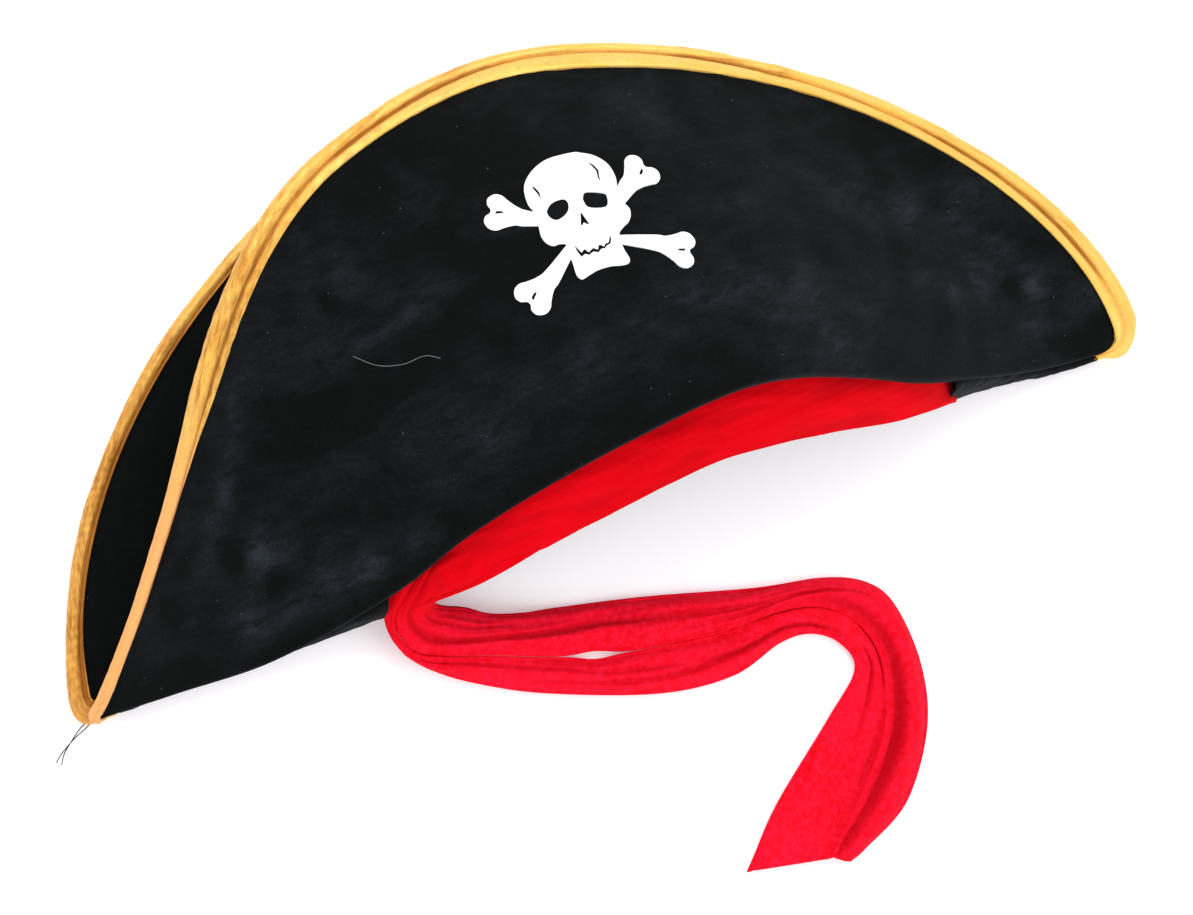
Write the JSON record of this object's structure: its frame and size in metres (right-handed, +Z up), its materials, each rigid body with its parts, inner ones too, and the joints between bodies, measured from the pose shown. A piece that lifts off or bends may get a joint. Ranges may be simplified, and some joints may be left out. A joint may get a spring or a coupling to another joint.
{
  "type": "pirate hat",
  "caption": "Soft black velour pirate hat with a half-moon brim folded in two, gold binding, a white skull and crossbones print, a low cloth crown and a red sash with hanging tails",
  "frame": {"origin": "Middle of the head opening, halfway between its two side seams and halfway up the flattened opening, as the hat lies on a table on its back flap.", "axes": "X runs along the fold from tip to tip and to the right as the print is read. Y runs from the head opening to the peak of the brim. Z is up from the table, from the back flap to the front flap."},
  "size_m": [0.4738, 0.344, 0.0916],
  "materials": {
    "velour": "short-pile black velour, soft sheen",
    "lining": "plain black woven lining",
    "foam": "dark open-cell stiffening foam, hidden",
    "gold_lame": "gold lame binding, satin metallic threads",
    "piping_cord": "cotton filler cord, hidden",
    "print_film": "white heat-pressed film, matt",
    "gold_thread": "gold sewing thread",
    "sweatband": "black cotton tape",
    "sash": "bright red knitted polyester, slightly fuzzy",
    "red_thread": "dark red sewing thread"
  },
  "bodies": {
    "hat": {"back_brim_velour": "velour", "back_brim_foam": "foam", "back_brim_lining": "lining", "back_binding": "gold_lame", "back_piping_cord": "piping_cord", "left_side_seam": "velour", "right_side_seam": "velour", "left_tip_stitches": "gold_thread", "right_tip_stitches": "gold_thread", "crown_front_panel": "velour", "crown_back_panel": "velour", "crown_tip": "velour", "crown_lining": "lining", "sweatband": "sweatband", "sash_band": "sash", "sash_turn": "sash", "sash_end_stitches": "red_thread", "sash_tack": "red_thread"},
    "front_brim": {"front_brim_velour": "velour", "front_brim_foam": "foam", "front_brim_lining": "lining", "front_binding": "gold_lame", "front_piping_cord": "piping_cord", "skull_print": "print_film"},
    "sash_tails": {"sash_outer_tail": "sash", "sash_inner_tail": "sash"}
  },
  "joints": [
    {"name": "front_brim_lift", "type": "hinge", "parent": "hat", "child": "front_brim", "pos_m": [-0.018, 0, -0.0285], "axis": [1, 0, 0], "range_deg": [0, 20]},
    {"name": "sash_swing", "type": "hinge", "parent": "hat", "child": "sash_tails", "pos_m": [-0.118, -0.013, -0.03], "axis": [0, 0, 1], "range_deg": [-30, 10]}
  ]
}
